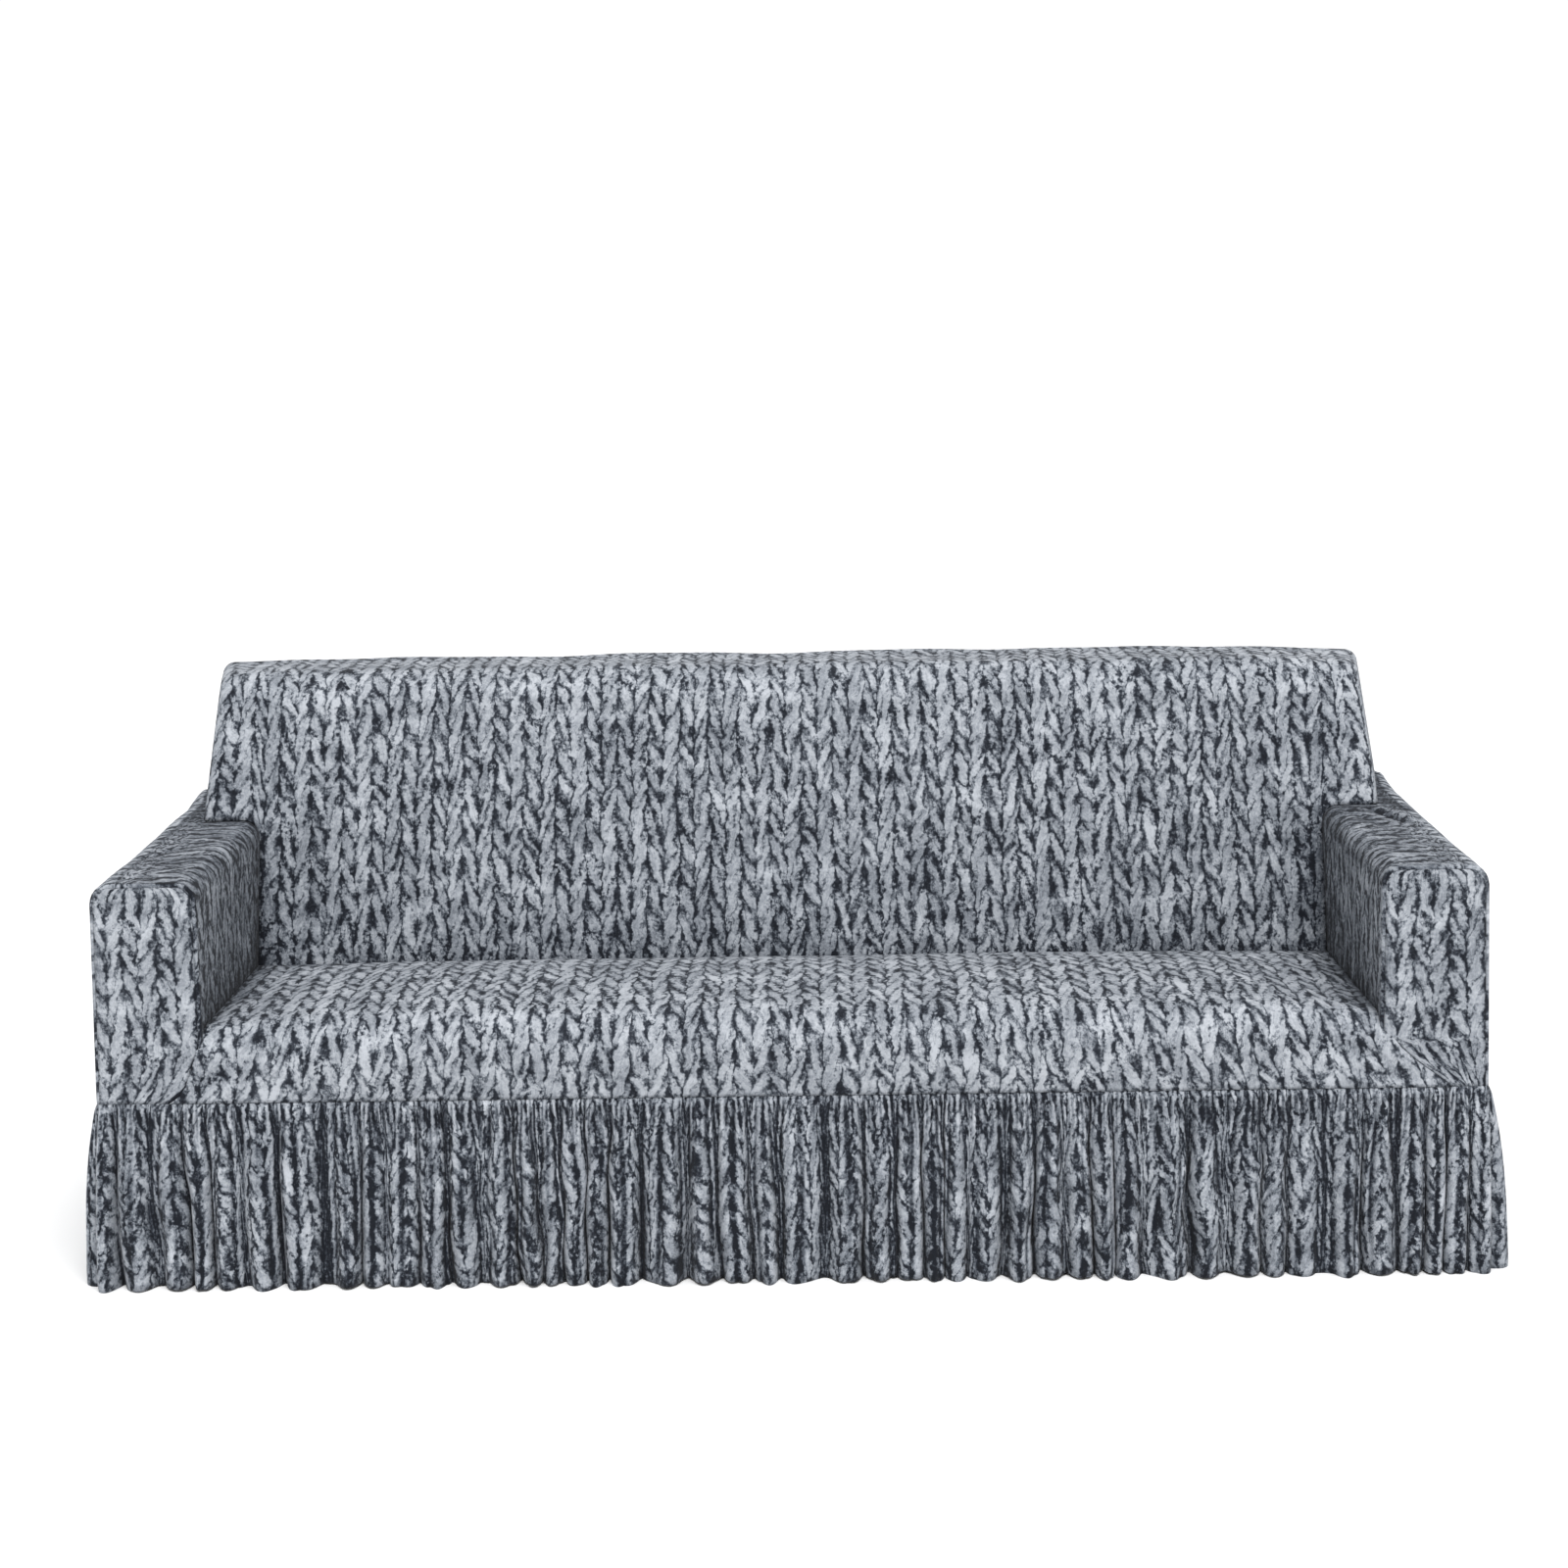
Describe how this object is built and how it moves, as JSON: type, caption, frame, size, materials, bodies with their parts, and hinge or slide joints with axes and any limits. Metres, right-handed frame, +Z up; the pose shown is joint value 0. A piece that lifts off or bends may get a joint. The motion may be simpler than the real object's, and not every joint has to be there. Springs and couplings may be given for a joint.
{
  "type": "sofa slipcover",
  "caption": "Stretch slipcover for a wide sofa with arms, in a knit-look print, with a gathered skirt sewn on below the seat.",
  "frame": {"origin": "on the floor, under the middle of the cover's bounding box", "axes": "+X along the sofa, to the right as seen from the front; the front faces -Y; +Z up"},
  "size_m": [2.1961, 0.9576, 0.8702],
  "materials": {
    "printed_knit": "matte stretch knit printed with a blue-grey cable-knit pattern"
  },
  "bodies": {
    "root": {"seat_panel": "printed_knit", "back_inside": "printed_knit", "back_outside": "printed_knit", "back_side_left": "printed_knit", "back_side_right": "printed_knit", "arm_wrap_left": "printed_knit", "arm_wrap_right": "printed_knit", "arm_front_left": "printed_knit", "arm_front_right": "printed_knit", "skirt_front": "printed_knit", "skirt_right": "printed_knit", "skirt_back": "printed_knit", "skirt_left": "printed_knit"}
  },
  "joints": []
}
